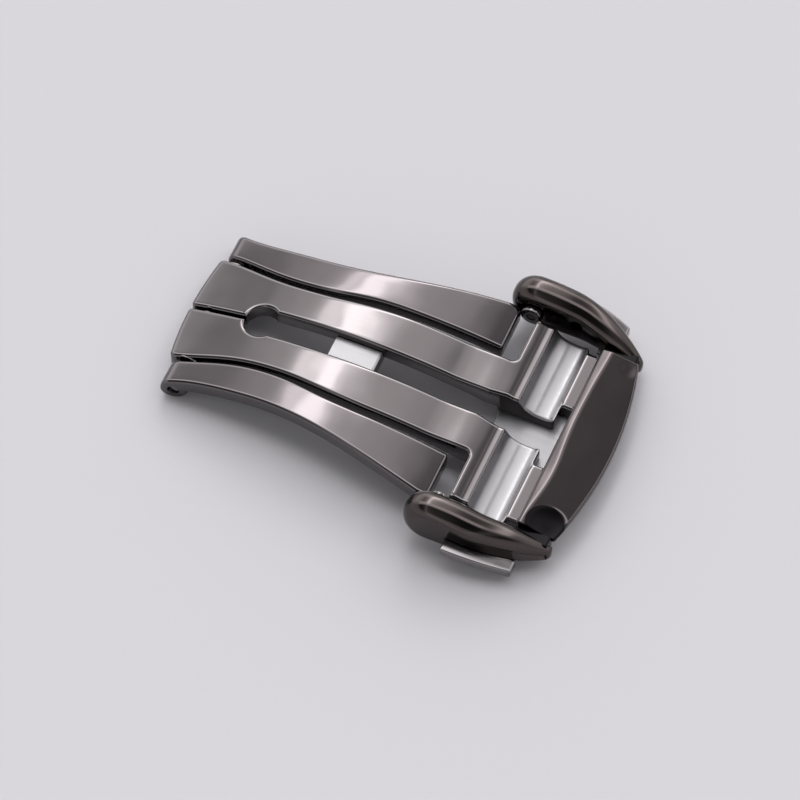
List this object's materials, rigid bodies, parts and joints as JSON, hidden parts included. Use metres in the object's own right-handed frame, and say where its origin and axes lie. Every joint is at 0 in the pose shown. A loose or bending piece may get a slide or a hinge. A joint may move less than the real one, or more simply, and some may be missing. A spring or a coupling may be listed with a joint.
{
  "type": "watch strap clasp",
  "caption": "Fold-over watch strap clasp with a folding blade pair, a hinged cover with arms for the strap and two push buttons.",
  "frame": {"origin": "on the table, under the middle of the closed clasp", "axes": "+X from the folding hinge towards the hinged cover, +Y across the strap, +Z away from the wrist"},
  "size_m": [0.038, 0.0276, 0.0055],
  "materials": {
    "black_steel": "black coated, mirror polished",
    "grey_steel": "gunmetal coated, mirror polished",
    "plate_steel": "fine satin",
    "button_steel": "gunmetal coated, polished",
    "pin_steel": "ground bright"
  },
  "bodies": {
    "inner_leaf": {"inner_blade_far": "grey_steel", "inner_blade_near": "grey_steel", "middle_bridge": "plate_steel", "head_base_plate": "plate_steel", "main_hinge_pin": "pin_steel", "catch_stud_far": "pin_steel", "catch_stud_near": "pin_steel"},
    "outer_bars": {"outer_bar_far": "black_steel", "outer_bar_near": "black_steel", "cover_pivot_pin_far": "pin_steel", "cover_pivot_pin_near": "pin_steel"},
    "cover": {"cover_frame": "black_steel", "latch_carrier_plate": "plate_steel", "carrier_rivet_far": "pin_steel", "carrier_rivet_near": "pin_steel", "button_spring_far": "pin_steel", "button_spring_near": "pin_steel"},
    "push_button_far": {"push_button_far": "button_steel"},
    "push_button_near": {"push_button_near": "button_steel"}
  },
  "joints": [
    {"name": "main_hinge", "type": "hinge", "parent": "inner_leaf", "child": "outer_bars", "pos_m": [-0.01701, 0, 0.00115], "axis": [0, -1, 0], "range_deg": [0, 165]},
    {"name": "cover_hinge", "type": "hinge", "parent": "outer_bars", "child": "cover", "pos_m": [0.00779, 0, 0.00315], "axis": [0, -1, 0], "range_deg": [0, 90]},
    {"name": "push_far", "type": "slide", "parent": "cover", "child": "push_button_far", "axis": [0, -1, 0], "range_m": [0, 0.0006], "stiffness_N_per_m": 1200, "springref_m": -0.0004, "deforming": ["button_spring_far"]},
    {"name": "push_near", "type": "slide", "parent": "cover", "child": "push_button_near", "axis": [0, 1, 0], "range_m": [0, 0.0006], "stiffness_N_per_m": 1200, "springref_m": -0.0004, "deforming": ["button_spring_near"]}
  ]
}
